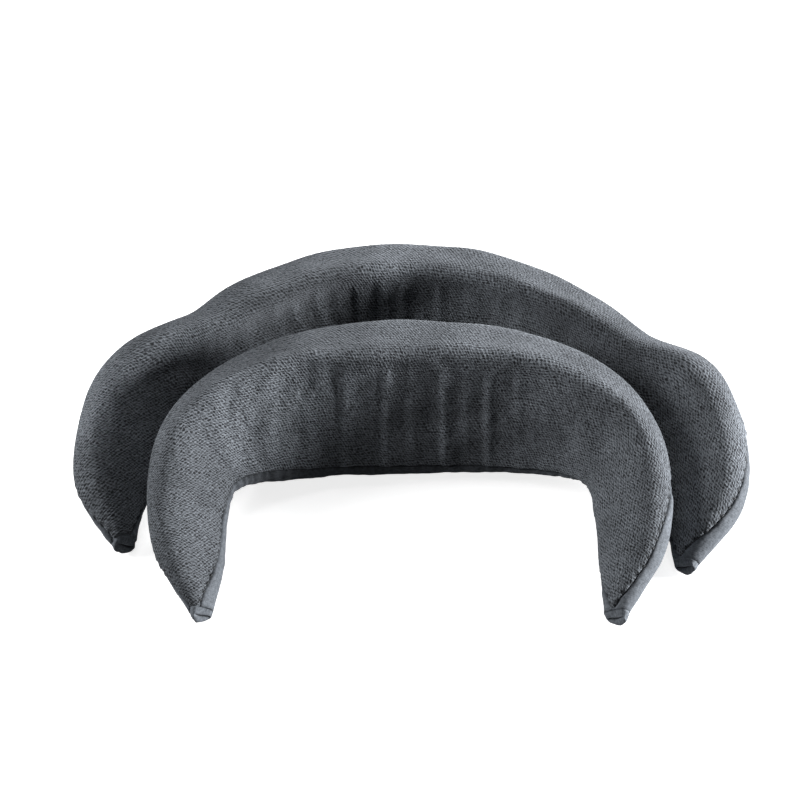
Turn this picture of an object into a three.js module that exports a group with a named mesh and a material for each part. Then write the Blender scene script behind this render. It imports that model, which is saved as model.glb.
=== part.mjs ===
// Two-part head cushion for a chair headrest: a larger crescent pad and a smaller one that stands inside
// it. Each pad is a shaped foam build-up on a flexible stiffener, in a cover with a terry knit front and a
// smooth knit back, closed by a sewn seam, and with touch-fastener patches on its back.
//
// Millimetres, +Z up. The pads stand on their two arm tips and the middle of their lower edge, open side
// towards -Y. Every piece is a loft of cross-sections along the pad's curved spine.

import * as THREE from 'three';

// ---------------------------------------------------------------------------------------------------
// Driving dimensions
// ---------------------------------------------------------------------------------------------------

// Spine stations from the middle of a pad to its right tip; the left half mirrors them.
// x, y, z: centre of the section. lean: how far it tips back, in degrees. width: across the face.
// depth: front to back. power: superellipse exponent, from 2 for an ellipse towards a square-shouldered box.
const LARGE_STATIONS = [
  { x: 0, y: 72, z: 32, lean: 8, width: 62, depth: 27, power: 4.0 },
  { x: 36, y: 64, z: 33, lean: 10, width: 62, depth: 26, power: 4.0 },
  { x: 66, y: 44, z: 34, lean: 15, width: 61, depth: 24, power: 3.5 },
  { x: 89, y: 23, z: 33, lean: 22, width: 58, depth: 22, power: 3.2 },
  { x: 110, y: 8, z: 32, lean: 30, width: 57, depth: 24, power: 2.8 },
  { x: 121, y: -12, z: 26, lean: 42, width: 49, depth: 25, power: 2.6 },
  { x: 122, y: -34, z: 16, lean: 50, width: 36, depth: 21, power: 2.4 },
  { x: 116, y: -54, z: 6, lean: 45, width: 13, depth: 9, power: 2.2 },
];
const SMALL_STATIONS = [
  { x: 0, y: 14, z: 33, lean: 8, width: 66, depth: 30, power: 4.0 },
  { x: 42, y: 10, z: 34, lean: 9, width: 63, depth: 28, power: 4.0 },
  { x: 72, y: -3, z: 35, lean: 16, width: 55, depth: 24, power: 3.5 },
  { x: 88, y: -20, z: 31, lean: 32, width: 46, depth: 21, power: 3.0 },
  { x: 92, y: -42, z: 22, lean: 48, width: 38, depth: 19, power: 2.6 },
  { x: 90, y: -66, z: 13, lean: 54, width: 31, depth: 17, power: 2.4 },
  { x: 85, y: -88, z: 4.8, lean: 50, width: 12, depth: 8, power: 2.2 },
];

// Where each pad stands: a shift in millimetres and a turn about +Z in degrees. Together they put the
// origin at the bottom centre of both pads' common box.
const LARGE_PLACE = { x: 0.7, y: 3.0, z: -1.2, turn: -2.2 };
const SMALL_PLACE = { x: -0.3, y: 1.6, z: -0.3, turn: 0.5 };

// Centres of the touch-fastener patches along the spine, in stations from the middle.
const LARGE_PATCHES = [
  { name: 'left', at: -2.1 },
  { name: 'centre', at: 0 },
  { name: 'right', at: 2.1 },
];
const SMALL_PATCHES = [
  { name: 'left', at: -1.05 },
  { name: 'centre', at: 0 },
  { name: 'right', at: 1.05 },
];

// The cover's two seams, as angles round the section: 0 is the middle of the back, 90 the upper edge,
// 180 the middle of the face and -90 the lower edge.
const UPPER_SEAM = 35;
const LOWER_SEAM = -138;
const SEAM_HALF_GAP = 0.8;

// Layers, as depths below the outer surface.
const TERRY_THICKNESS = 2.0;
const PANEL_TOP = 0.4;
const PANEL_THICKNESS = 1.2;
const ELASTIC_TOP = 2.7;
const ELASTIC_THICKNESS = 0.7;
const ELASTIC_WIDTH = 3;
const FOAM_TOP = 4.5;
const COMFORT_FOAM_DEPTH = 8;
const STIFFENER_TOP = 3.6;
const STIFFENER_THICKNESS = 1.6;
const STIFFENER_WIDTH_SHARE = 0.48;
const LAYER_GAP = 0.35;

// How far each inner layer runs short of the tip, in stations.
const FOAM_END = 0.55;
const ELASTIC_END = 0.9;
const STIFFENER_END = 2.5;

const THREAD_WIDTH = 0.8;
const THREAD_TOP = -0.2;
const THREAD_HEIGHT = 0.7;
const THREAD_END = 0.1;

const PATCH_HALF_LENGTH = 0.4;
const PATCH_HALF_HEIGHT = 11;
const PATCH_THICKNESS = 1.2;

const TAB_LENGTH = 3.6;

// Facets.
const RINGS_PER_STATION = 2;
const COVER_STEPS = 10;
const PANEL_STEPS = 7;
const FOAM_STEPS = 6;
const FACE_END = 170;
const BAND_CORNER_STEPS = 4;
const BAND_END_STEPS = 8;

// ---------------------------------------------------------------------------------------------------
// Materials
// ---------------------------------------------------------------------------------------------------

function finish(color, roughness) {
  return new THREE.MeshStandardMaterial({ color, roughness, metalness: 0 });
}

const TERRY_KNIT = finish(0x525659, 0.95);
const SMOOTH_KNIT = finish(0x656b72, 0.8);
const THREAD = finish(0x3c3f43, 0.7);
const ELASTIC = finish(0x2f3134, 0.75);
const SOFT_FOAM = finish(0xd8d3c4, 0.95);
const FIRM_FOAM = finish(0x8f9296, 0.95);
const BOARD = finish(0x26282a, 0.6);
const FASTENER = finish(0x1d1f21, 0.85);

// ---------------------------------------------------------------------------------------------------
// The spine and its cross-sections
// ---------------------------------------------------------------------------------------------------

// A station by its number, mirrored left of the middle and carried on in a straight line past a tip.
function station(stations, index) {
  const last = stations.length - 1;
  const number = Math.abs(index);
  if (number <= last) {
    const found = { ...stations[number] };
    found.x *= index < 0 ? -1 : 1;
    return found;
  }
  const tip = station(stations, Math.sign(index) * last);
  const before = station(stations, Math.sign(index) * (last - 1));
  return Object.fromEntries(Object.keys(tip).map((key) => [key, 2 * tip[key] - before[key]]));
}

function catmullRom(a, b, c, d, t) {
  const linear = (c - a) * t;
  const square = (2 * a - 5 * b + 4 * c - d) * t * t;
  const cube = (3 * b - a - 3 * c + d) * t * t * t;
  return 0.5 * (2 * b + linear + square + cube);
}

// All the section's values at a place along the spine, counted in stations from the middle.
function valuesAt(stations, place) {
  const last = stations.length - 1;
  const first = Math.max(-last, Math.min(last - 1, Math.floor(place)));
  const [a, b, c, d] = [-1, 0, 1, 2].map((step) => station(stations, first + step));
  return Object.fromEntries(
    Object.keys(b).map((key) => [key, catmullRom(a[key], b[key], c[key], d[key], place - first)]),
  );
}

function centreAt(stations, place) {
  const { x, y, z } = valuesAt(stations, place);
  return new THREE.Vector3(x, y, z);
}

// The section at a place: its centre, size, and the two directions of its plane. Upward runs from the
// lower edge to the upper edge of the face, and backward from the face to the back.
function sectionAt(stations, place) {
  const values = valuesAt(stations, place);
  const step = 0.01;
  const along = centreAt(stations, place + step).sub(centreAt(stations, place - step)).normalize();
  const outward = new THREE.Vector3(0, 0, 1).cross(along).normalize();
  const rise = along.clone().cross(outward);
  const lean = THREE.MathUtils.degToRad(values.lean);
  const upward = rise.clone().multiplyScalar(Math.cos(lean)).addScaledVector(outward, Math.sin(lean));
  const backward = outward.clone().multiplyScalar(Math.cos(lean)).addScaledVector(rise, -Math.sin(lean));
  return { ...values, centre: centreAt(stations, place), along, upward, backward };
}

function signedPower(value, exponent) {
  return Math.sign(value) * Math.abs(value) ** exponent;
}

// Height above and distance behind the section's centre, on its outline inset by a depth.
function outline(section, degrees, depth) {
  const angle = THREE.MathUtils.degToRad(degrees);
  const bend = 2 / section.power;
  return {
    up: signedPower(Math.sin(angle), bend) * (section.width / 2 - depth),
    back: signedPower(Math.cos(angle), bend) * (section.depth / 2 - depth),
  };
}

function inSection(section, { up, back }) {
  return section.centre.clone().addScaledVector(section.upward, up).addScaledVector(section.backward, back);
}

// The outline's angle, in degrees, at a distance behind the centre.
function angleAtBack(section, back, depth) {
  const share = THREE.MathUtils.clamp(back / (section.depth / 2 - depth), -0.98, 0.98);
  return THREE.MathUtils.radToDeg(Math.acos(signedPower(share, section.power / 2)));
}

function evenSteps(from, to, steps) {
  return Array.from({ length: steps + 1 }, (_, i) => from + ((to - from) * i) / steps);
}

// Places of the rings between two places: both ends and every regular ring between them.
function ringPlaces(from, to) {
  const places = [from];
  for (let n = Math.ceil(from * RINGS_PER_STATION + 0.2); n / RINGS_PER_STATION < to - 0.1; n++) {
    places.push(n / RINGS_PER_STATION);
  }
  places.push(to);
  return places;
}

// ---------------------------------------------------------------------------------------------------
// Solids
// ---------------------------------------------------------------------------------------------------

function volumeOf(points, triangles) {
  const volume = ([a, b, c]) => points[a].dot(points[b].clone().cross(points[c])) / 6;
  return triangles.reduce((sum, triangle) => sum + volume(triangle), 0);
}

// A four-sided face as two triangles, split along its shorter diagonal.
function quad(points, a, b, c, d) {
  if (points[a].distanceTo(points[c]) < points[b].distanceTo(points[d])) {
    return [[a, b, c], [a, c, d]];
  }
  return [[a, b, d], [b, c, d]];
}

// A closed solid through rings of points, each ring in the same order. The caps' triangles are given as
// places in a ring; without caps the last ring joins the first.
function loft(rings, caps) {
  const size = rings[0].length;
  const points = rings.flat();
  const triangles = [];
  const spans = caps ? rings.length - 1 : rings.length;
  for (let r = 0; r < spans; r++) {
    const here = r * size;
    const next = ((r + 1) % rings.length) * size;
    for (let i = 0; i < size; i++) {
      triangles.push(...quad(points, here + i, here + ((i + 1) % size), next + ((i + 1) % size), next + i));
    }
  }
  if (caps) {
    const end = (rings.length - 1) * size;
    for (const [a, b, c] of caps) {
      triangles.push([a, c, b], [end + a, end + b, end + c]);
    }
  }
  if (volumeOf(points, triangles) < 0) {
    triangles.forEach((triangle) => triangle.reverse());
  }
  const geometry = new THREE.BufferGeometry();
  geometry.setAttribute('position', new THREE.Float32BufferAttribute(points.flatMap((p) => p.toArray()), 3));
  geometry.setIndex(triangles.flat());
  geometry.computeVertexNormals();
  return geometry;
}

// Cap for a ring made of one chain of points and then a second chain that comes back beside it.
function stripCap(size) {
  const cap = [];
  for (let i = 0; i < size / 2 - 1; i++) {
    const across = size - 1 - i;
    cap.push([i, i + 1, across - 1], [i, across - 1, across]);
  }
  return cap;
}

// Cap for a ring without hollows.
function fanCap(size) {
  return Array.from({ length: size - 2 }, (_, i) => [0, i + 1, i + 2]);
}

// The turn, in degrees, that covers a distance along the outline at an angle.
function turnFor(section, degrees, distance) {
  const from = outline(section, degrees - 0.5, 0);
  const to = outline(section, degrees + 0.5, 0);
  return distance / Math.hypot(to.up - from.up, to.back - from.back);
}

// A layer that follows the outline from one seam round to the other, between two depths.
function layer(stations, fromSeam, toSeam, steps, outerDepth, innerDepth) {
  const reach = stations.length - 1;
  const rings = ringPlaces(-reach, reach).map((place) => {
    const section = sectionAt(stations, place);
    const from = fromSeam + turnFor(section, fromSeam, SEAM_HALF_GAP);
    const to = toSeam - turnFor(section, toSeam, SEAM_HALF_GAP);
    const angles = evenSteps(from, to, steps);
    const outer = angles.map((angle) => inSection(section, outline(section, angle, outerDepth)));
    const inner = angles.map((angle) => inSection(section, outline(section, angle, innerDepth)));
    return [...outer, ...inner.reverse()];
  });
  return loft(rings, stripCap(2 * (steps + 1)));
}

// A block that fills the foam's outline from a flat cut at the back to one at the front, each a distance
// behind the centre. Without a front cut it runs on to the face.
function block(stations, cutsAt) {
  const reach = stations.length - 1 - FOAM_END;
  const rings = ringPlaces(-reach, reach).map((place) => {
    const section = sectionAt(stations, place);
    const { back, front } = cutsAt(section, place);
    const from = angleAtBack(section, back, FOAM_TOP);
    const to = front === undefined ? FACE_END : angleAtBack(section, front, FOAM_TOP);
    const angles = evenSteps(from, to, FOAM_STEPS);
    const upper = angles.map((angle) => inSection(section, outline(section, angle, FOAM_TOP)));
    const lower = angles.map((angle) => inSection(section, outline(section, -angle, FOAM_TOP)));
    const heights = plateHeights(section);
    const acrossBack = heights.map((up) => inSection(section, { up: -up, back }));
    const acrossFront = front === undefined ? [] : heights.map((up) => inSection(section, { up, back: front }));
    const ring = [...upper, ...acrossFront, ...lower.reverse(), ...acrossBack];
    return [...ring.slice(FOAM_STEPS / 2), ...ring.slice(0, FOAM_STEPS / 2)];
  });
  return loft(rings, fanCap(rings[0].length));
}

// Upper edge, middle and lower edge of the stiffener, as heights above the section's centre.
function plateHeights(section) {
  const half = (section.width / 2) * STIFFENER_WIDTH_SHARE;
  return [half, 0, -half];
}

function foamSplit(section) {
  return Math.min(0, COMFORT_FOAM_DEPTH - section.depth / 2);
}

function comfortFoam(stations) {
  return block(stations, (section) => ({ back: foamSplit(section) }));
}

// The core lies behind the comfort foam and, as far as the stiffener reaches, in front of it.
function foamCore(stations) {
  const plateReach = stations.length - 1 - STIFFENER_END;
  const recess = STIFFENER_TOP + STIFFENER_THICKNESS + LAYER_GAP;
  return block(stations, (section, place) => {
    const past = THREE.MathUtils.smoothstep(Math.abs(place), plateReach + 0.1, plateReach + 0.9);
    const back = section.depth / 2 - THREE.MathUtils.lerp(recess, FOAM_TOP, past);
    return { back, front: foamSplit(section) + LAYER_GAP };
  });
}

function stiffenerPlate(stations) {
  const reach = stations.length - 1 - STIFFENER_END;
  const rings = ringPlaces(-reach, reach).map((place) => {
    const section = sectionAt(stations, place);
    const back = section.depth / 2 - STIFFENER_TOP;
    const front = back - STIFFENER_THICKNESS;
    const behind = plateHeights(section).map((up) => inSection(section, { up, back }));
    const before = plateHeights(section).map((up) => inSection(section, { up, back: front }));
    return [...behind, ...before.reverse()];
  });
  return loft(rings, stripCap(6));
}

// Outward direction of the outline's surface at an angle.
function outwardAt(section, degrees) {
  const { up, back } = outline(section, degrees, 0);
  const steep = section.power - 1;
  const upPart = signedPower(up / (section.width / 2), steep) / section.width;
  const backPart = signedPower(back / (section.depth / 2), steep) / section.depth;
  const outward = section.upward.clone().multiplyScalar(upPart);
  return outward.addScaledVector(section.backward, backPart).normalize();
}

// A flat band laid on the outline along a path of { place, angle } steps, at a depth below the surface.
function band(stations, path, closed, { top, thickness, width }) {
  const last = path.length - 1;
  const spots = path.map(({ place, angle }) => {
    const section = sectionAt(stations, place);
    return { point: inSection(section, outline(section, angle, top)), outward: outwardAt(section, angle) };
  });
  const rings = spots.map(({ point, outward }, i) => {
    const after = closed ? spots[(i + 1) % spots.length] : spots[Math.min(last, i + 1)];
    const before = closed ? spots[(i + last) % spots.length] : spots[Math.max(0, i - 1)];
    const along = after.point.clone().sub(before.point).normalize();
    const across = outward.clone().cross(along).normalize();
    const left = point.clone().addScaledVector(across, width / 2);
    const right = point.clone().addScaledVector(across, -width / 2);
    const sunk = (corner) => corner.clone().addScaledVector(outward, -thickness);
    return [left, right, sunk(right), sunk(left)];
  });
  return loft(rings, closed ? null : stripCap(4));
}

// The elastic's closed path: along the upper seam, round the right tip, back along the lower seam and
// round the left tip.
function mouthPath(stations) {
  const reach = stations.length - 1 - ELASTIC_END;
  const corner = 0.3;
  const middle = (UPPER_SEAM + LOWER_SEAM) / 2;
  const spread = (UPPER_SEAM - LOWER_SEAM) / 2;
  const cornerSpread = 25;
  const half = [];
  for (const place of ringPlaces(-reach + corner, reach - corner)) {
    half.push({ place, angle: UPPER_SEAM });
  }
  for (let i = 1; i <= BAND_CORNER_STEPS; i++) {
    const turn = (Math.PI / 2) * (i / BAND_CORNER_STEPS);
    const place = reach - corner + corner * Math.sin(turn);
    half.push({ place, angle: UPPER_SEAM - cornerSpread * (1 - Math.cos(turn)) });
  }
  const low = middle - spread + cornerSpread;
  const high = middle + spread - cornerSpread;
  for (const angle of evenSteps(high, low, BAND_END_STEPS).slice(1)) {
    half.push({ place: reach, angle });
  }
  for (let i = 1; i < BAND_CORNER_STEPS; i++) {
    const turn = (Math.PI / 2) * (i / BAND_CORNER_STEPS);
    const place = reach - corner + corner * Math.cos(turn);
    half.push({ place, angle: low - cornerSpread * Math.sin(turn) });
  }
  const back = half.map(({ place, angle }) => ({ place: -place, angle: 2 * middle - angle }));
  return [...half, ...back];
}

function seamPath(stations, angle) {
  const reach = stations.length - 1 - THREAD_END;
  return ringPlaces(-reach, reach).map((place) => ({ place, angle }));
}

// The folded end of the cover at a tip: it carries the last section on and tapers it to a blunt fold.
function tipTab(stations, side) {
  const section = sectionAt(stations, side * (stations.length - 1));
  const slices = [
    { along: LAYER_GAP, width: 0.86, depth: 0.86 },
    { along: 0.6 * TAB_LENGTH, width: 0.74, depth: 0.62 },
    { along: TAB_LENGTH, width: 0.5, depth: 0.34 },
  ];
  const rings = slices.map((slice) => {
    const shrunk = { ...section, width: section.width * slice.width, depth: section.depth * slice.depth };
    shrunk.centre = section.centre.clone().addScaledVector(section.along, side * slice.along);
    return evenSteps(0, 360, 8).slice(1).map((angle) => inSection(shrunk, outline(shrunk, angle, 0)));
  });
  return loft(rings, fanCap(8));
}

// A touch-fastener patch: its inner side follows the back panel and its outer side is flat.
function patch(stations, at) {
  const middle = sectionAt(stations, at);
  const proud = LAYER_GAP - PANEL_TOP;
  const flatAt = middle.depth / 2 + proud + PATCH_THICKNESS;
  const onFlat = inSection(middle, { up: 0, back: flatAt });
  const rows = [PATCH_HALF_HEIGHT, 0, -PATCH_HALF_HEIGHT];
  const rings = evenSteps(at - PATCH_HALF_LENGTH, at + PATCH_HALF_LENGTH, 4).map((place) => {
    const section = sectionAt(stations, place);
    const inner = rows.map((up) => inSection(section, { up, back: section.depth / 2 + proud }));
    const outer = inner.map((point) => {
      const rise = onFlat.clone().sub(point).dot(middle.backward);
      return point.clone().addScaledVector(middle.backward, rise);
    });
    return [...outer, ...inner.reverse()];
  });
  return loft(rings, stripCap(6));
}

// ---------------------------------------------------------------------------------------------------
// Assembly
// ---------------------------------------------------------------------------------------------------

function piece(name, geometry, material) {
  const mesh = new THREE.Mesh(geometry, material);
  mesh.name = name;
  return mesh;
}

function makePad(prefix, stations, patches, place) {
  const pad = new THREE.Group();
  const terry = layer(stations, UPPER_SEAM, LOWER_SEAM + 360, COVER_STEPS, 0, TERRY_THICKNESS);
  const panelInside = PANEL_TOP + PANEL_THICKNESS;
  const panel = layer(stations, LOWER_SEAM, UPPER_SEAM, PANEL_STEPS, PANEL_TOP, panelInside);
  const elastic = { top: ELASTIC_TOP, thickness: ELASTIC_THICKNESS, width: ELASTIC_WIDTH };
  const thread = { top: THREAD_TOP, thickness: THREAD_HEIGHT, width: THREAD_WIDTH };
  const add = (name, geometry, material) => pad.add(piece(`${prefix}_${name}`, geometry, material));

  add('terry_cover', terry, TERRY_KNIT);
  add('back_panel', panel, SMOOTH_KNIT);
  add('hem_elastic', band(stations, mouthPath(stations), true, elastic), ELASTIC);
  add('seam_thread_upper', band(stations, seamPath(stations, UPPER_SEAM), false, thread), THREAD);
  add('seam_thread_lower', band(stations, seamPath(stations, LOWER_SEAM), false, thread), THREAD);
  add('comfort_foam', comfortFoam(stations), SOFT_FOAM);
  add('foam_core', foamCore(stations), FIRM_FOAM);
  add('stiffener', stiffenerPlate(stations), BOARD);
  add('tip_tab_left', tipTab(stations, -1), TERRY_KNIT);
  add('tip_tab_right', tipTab(stations, 1), TERRY_KNIT);
  for (const { name, at } of patches) {
    add(`hook_patch_${name}`, patch(stations, at), FASTENER);
  }

  pad.position.set(place.x, place.y, place.z);
  pad.rotation.z = THREE.MathUtils.degToRad(place.turn);
  return pad;
}

const headrestPads = new THREE.Group();
headrestPads.add(makePad('large', LARGE_STATIONS, LARGE_PATCHES, LARGE_PLACE));
headrestPads.add(makePad('small', SMALL_STATIONS, SMALL_PATCHES, SMALL_PLACE));

export default headrestPads;
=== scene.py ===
import math

import bmesh
import bpy
import numpy as np
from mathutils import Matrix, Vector


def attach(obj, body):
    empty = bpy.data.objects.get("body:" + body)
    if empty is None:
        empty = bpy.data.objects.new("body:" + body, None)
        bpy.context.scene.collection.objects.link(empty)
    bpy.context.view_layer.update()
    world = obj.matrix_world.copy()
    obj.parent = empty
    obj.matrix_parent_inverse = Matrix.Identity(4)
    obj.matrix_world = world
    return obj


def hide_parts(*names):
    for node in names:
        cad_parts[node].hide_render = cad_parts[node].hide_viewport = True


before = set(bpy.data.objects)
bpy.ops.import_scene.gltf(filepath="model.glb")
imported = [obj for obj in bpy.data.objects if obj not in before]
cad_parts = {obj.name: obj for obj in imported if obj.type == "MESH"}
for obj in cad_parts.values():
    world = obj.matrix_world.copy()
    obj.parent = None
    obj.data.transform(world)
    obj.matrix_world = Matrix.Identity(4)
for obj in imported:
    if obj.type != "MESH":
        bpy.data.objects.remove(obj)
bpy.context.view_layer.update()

# Two crescent head pads in knitted covers. Each pad is swept along a curved spine, as in the CAD, and its
# cover is rebuilt here loop by loop. Lengths are in millimetres until a mesh is made.

MM = 0.001

# --- The pads' shape, repeated from the CAD ---

# Spine stations from the middle to the right tip: x, y, z, lean (degrees), width, depth, power. The power,
# which sets how square a section is, is higher than the CAD's in the middle.
LARGE_STATIONS = (
    (0, 72, 32, 8, 62, 27, 5.6),
    (36, 64, 33, 10, 62, 26, 5.4),
    (66, 44, 34, 15, 61, 24, 4.4),
    (89, 23, 33, 22, 58, 22, 3.5),
    (110, 8, 32, 30, 57, 24, 2.8),
    (121, -12, 26, 42, 49, 25, 2.6),
    (122, -34, 16, 50, 36, 21, 2.4),
    (116, -54, 6, 45, 13, 9, 2.2),
)
SMALL_STATIONS = (
    (0, 14, 33, 8, 66, 30, 5.4),
    (42, 10, 34, 9, 63, 28, 5.2),
    (72, -3, 35, 16, 55, 24, 3.9),
    (88, -20, 31, 32, 46, 21, 3.0),
    (92, -42, 22, 48, 38, 19, 2.6),
    (90, -66, 13, 54, 31, 17, 2.4),
    (85, -88, 4.8, 50, 12, 8, 2.2),
)
# Shift in x, y, z and turn about +Z in degrees.
LARGE_PLACE = (0.7, 3.0, -1.2, -2.2)
SMALL_PLACE = (-0.3, 1.6, -0.3, 0.5)

# Seams, as (station, share of the way round the section). 0 is the middle of the back, 0.25 the upper
# edge, 0.5 the middle of the face and 0.75 the lower edge.
LARGE_UPPER_SEAM = (
    (-7, 0.25), (-6.6, 0.21), (-6, 0.18), (-5, 0.15), (4.0, 0.15), (4.7, 0.19), (5.3, 0.235), (6.0, 0.265),
    (6.6, 0.31), (7, 0.46),
)
LARGE_LOWER_SEAM = (
    (-7, 0.42), (-6.7, 0.54), (-6.4, 0.62), (-5, 0.69), (-3, 0.66), (3, 0.66), (4.5, 0.70), (5.8, 0.73),
    (6.3, 0.68), (6.7, 0.60), (7, 0.51),
)
SMALL_UPPER_SEAM = (
    (-6, 0.25), (-5.7, 0.21), (-5.2, 0.18), (-4.5, 0.16), (-3, 0.15), (3.2, 0.15), (4.0, 0.23), (4.6, 0.28),
    (5.3, 0.31), (5.7, 0.36), (6, 0.47),
)
SMALL_LOWER_SEAM = (
    (-6, 0.40), (-5.8, 0.49), (-5.5, 0.57), (-5, 0.62), (-4, 0.65), (-3, 0.66), (-1.5, 0.645), (0, 0.645),
    (1.5, 0.655), (2.5, 0.67), (3.5, 0.71), (5.0, 0.73), (5.4, 0.68), (5.7, 0.60), (6, 0.51),
)

# How far each cover's upper and lower edges stand outside (+) or inside (-) the plain sweep, as
# (station, millimetres), with one knot for each turn of the edge: a full left tip, a flat left shoulder
# and a peaked right shoulder on the large pad, and a slack left shoulder on the small one.
LARGE_UPPER_EDGE = (
    (-7, 2.5), (-6.3, 2.5), (-5, -2), (-3.5, -0.5), (-2, 1), (0, 0.5), (3.4, -2), (4, 1.5), (4.6, -2),
    (5.5, 1), (7, 0.5),
)
LARGE_LOWER_EDGE = ((-7, -3), (-5.5, -0.5), (-4, 0), (5.5, 0), (6.4, 1.5), (7, -0.5))
SMALL_UPPER_EDGE = (
    (-6, -1.5), (-5, 0), (-4, -0.5), (-2.2, -3.5), (-0.3, 0), (1, 0), (2.8, -2), (4.5, 1), (5.3, -1),
    (6, -0.5),
)
SMALL_LOWER_EDGE = (
    (-6, 0.5), (-5.5, 1.5), (-4.3, 0), (-1.5, 2.5), (0, 0), (1, -1), (3, -2), (5, -2), (6, 0.5),
)

# How far the foam's hard front upper edge lifts the cover, as (station, millimetres).
LARGE_CREASE = (
    (-7, 0), (-5, 0.5), (-3.8, 1.7), (-2, 1.4), (-0.5, 0.8), (2, 0.7), (3.5, 0.9), (5, 0.4), (7, 0),
)
SMALL_CREASE = ((-6, 0), (-3.5, 0.1), (-2, 0.5), (-1, 0.7), (1, 0.7), (2, 0.6), (3.5, 0.2), (6, 0))

# How far the elastic draws the upper part of the large pad's face in (-), as (station, millimetres).
LARGE_HOLLOW = (
    (-7, 0), (-5, 0), (-3.8, -2.8), (-2, -4.2), (-1.2, -3.4), (-0.4, -1.2), (4, -1.2), (5, 0), (7, 0),
)

# Painted light and shade on the pile: how much darker (+) or paler (-) it is made on the face and the arms,
# as (station, amount). The darker parts are painted shade, chiefly between the pads, and the paler parts are
# painted light, both standing in for what the lights below don't give.
LARGE_PAINTED_SHADING = (
    (-7, 0), (-5, -0.5), (-3, 0.2), (-1.8, 0.8), (-1, 0.8), (-0.6, 0), (0, -0.4), (0.8, -0.2), (2, 0.4),
    (3.5, 0.3), (5, -0.5), (7, 0),
)
SMALL_PAINTED_SHADING = ((-6, 0), (-4, 0), (-2, -0.6), (0, -0.35), (2.2, -0.3), (3, 0), (6, 0))

# Soft ridges of the cover on the faces: distance from the middle, half width, height, and how far the
# ridge drifts sideways from its lower to its upper end.
LARGE_FOLDS = (
    (-61, 3.4, 0.4, -8), (-52, 3.6, 0.8, -8), (-41, 3.6, 1.0, -8), (-33, 3.2, 0.5, -6), (-25, 3.6, 1.1, -5),
    (-15, 3.4, 1.2, -5), (-7, 2.8, 1.0, -3), (8.5, 2.4, 1.0, 0), (21, 3.0, 0.35, 1), (34, 2.6, 0.35, 2),
    (58, 2.0, 0.5, 3),
)
SMALL_FOLDS = (
    (-43, 3.8, 0.35, 2), (-28, 3.6, 1.15, 0), (-10, 2.4, 1.3, 0), (0.5, 2.6, 0.6, 0), (14.8, 2.2, 1.15, 0),
    (24, 2.6, 0.3, 0), (33.5, 2.2, 1.05, 0), (46.5, 2.6, 0.6, -1), (58, 3.0, 0.3, -2),
)

# How far the spine turns off the knit's rows, as (station, degrees). The cloth is cut straight, so its
# rows keep their direction where an arm bends away.
LARGE_GRAIN = ((-7, 58), (-5.5, 42), (-4.2, 12), (-3, 0), (3, 0), (4.2, -12), (5.5, -42), (7, -58))
SMALL_GRAIN = ((-6, 62), (-4.5, 50), (-3.2, 28), (-1.8, 0), (1.8, 0), (3.2, -28), (4.5, -50), (6, -62))

# --- Cover construction ---

LOOP_ALONG = 1.3
LOOP_ACROSS = 1.2
GAP_LENGTH = 0.46
GAP_WIDTH = 0.36
GAP_TILT = 0.4
LOOP_HEIGHT = 0.2
LOOP_DRIFT = 0.25
COLUMN_STEP = 0.42
ROW_STEP = 0.42
LOOP_PATCHY = 0.22
COARSE_LOOPS = 0.5
HOLE_DEPTH = 0.6
HOLE_REACH = 0.7
HOLE_INSET = 0.9
# From the middle (0) to a tip (1): where stitch holes begin to show, where loops coarsen, and where the
# painted light and shade tables begin to act all the way round. Nearer the middle they act on the face only,
# past the shares of the way round on the last line.
DRAWN_IN_FROM = (0.42, 0.6)
COARSE_FROM = (0.3, 0.65)
PAINTED_SHADING_FROM = (0.4, 0.6)
PAINTED_SHADING_ROUND = (0.275, 0.335)
TERRY_THICKNESS = 2.1
TERRY_END = 0.5
FOLD_FLANK = 2.1
FOLD_HEIGHT = 0.6
FOLD_CREASE = 0.15
FOLD_SHADE = 0.12
FOLD_LIGHT = 0.5
FOLD_WINDOW = (-34, -24, 16, 27)
FACE_WINDOW = (-30, -20, 14, 26)
LOOP_FUZZ = 0.03
LUMP_HEIGHT = 0.28
CREASE_HEIGHT = 0.14
HOLE_SHADE = 1.3
PUCKER_SHADE = 0.3
SEAM_SHADE = 0.2
LINING_PITCH = 4.0
LINING_ROWS = 18
EDGE_ROWS = (0.0, 0.35, 0.85)
EDGE_ROUND = 1.0
EDGE_DEPTH = 0.55

STITCH_PITCH = 3.9
STITCH_LENGTH = 2.1
STITCH_RADIUS = 0.32
STITCH_TAPER = 0.94
STITCH_ARCH = 0.4
STITCH_SUNK = 1.15
PUCKER_DEPTH = 0.25
PUCKER_REACH = 1.7

PANEL_PITCH = 1.5
PANEL_TOP = 0.15
PANEL_THICKNESS = 0.9
PANEL_ROUND = 1.0
PANEL_TUCK_DEPTH = 1.7
# Rows at the panel's edges, from the tucked end past the seam inward, and where the even rows begin.
PANEL_EDGE_ROWS = (-2.4, -0.8, 0.0, 0.25, 0.6, 1.1)
PANEL_EDGE = 1.9
PANEL_LUMPS = 0.2
PANEL_GATHERS = 0.3
PANEL_PUCKER = 0.3

# Where round the section the upper edge, lower edge, crease and hollow tables act, and how widely.
PUSH_PLACES = ((0.22, 0.13), (0.71, 0.13), (0.325, 0.03), (0.41, 0.055))
PINCH_FROM = 0.45
PINCH_PASSES = 200

FLOOR_GAP = 0.15
FLOOR_KNEE = 1.4

SURFACE_RINGS_PER_STATION = 20
SURFACE_STEPS = 240
OUTLINE_SAMPLES = 721
NOISE_WAVES = 14


def smoothstep(low, high, x):
    t = np.clip((x - low) / (high - low), 0, 1)
    return t * t * (3 - 2 * t)


def window(x, rise_from, rise_to, fall_from, fall_to):
    """1 in the middle and 0 outside, with smooth flanks."""
    return smoothstep(rise_from, rise_to, x) * (1 - smoothstep(fall_from, fall_to, x))


def unit(vectors):
    return vectors / np.linalg.norm(vectors, axis=-1, keepdims=True)


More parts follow.
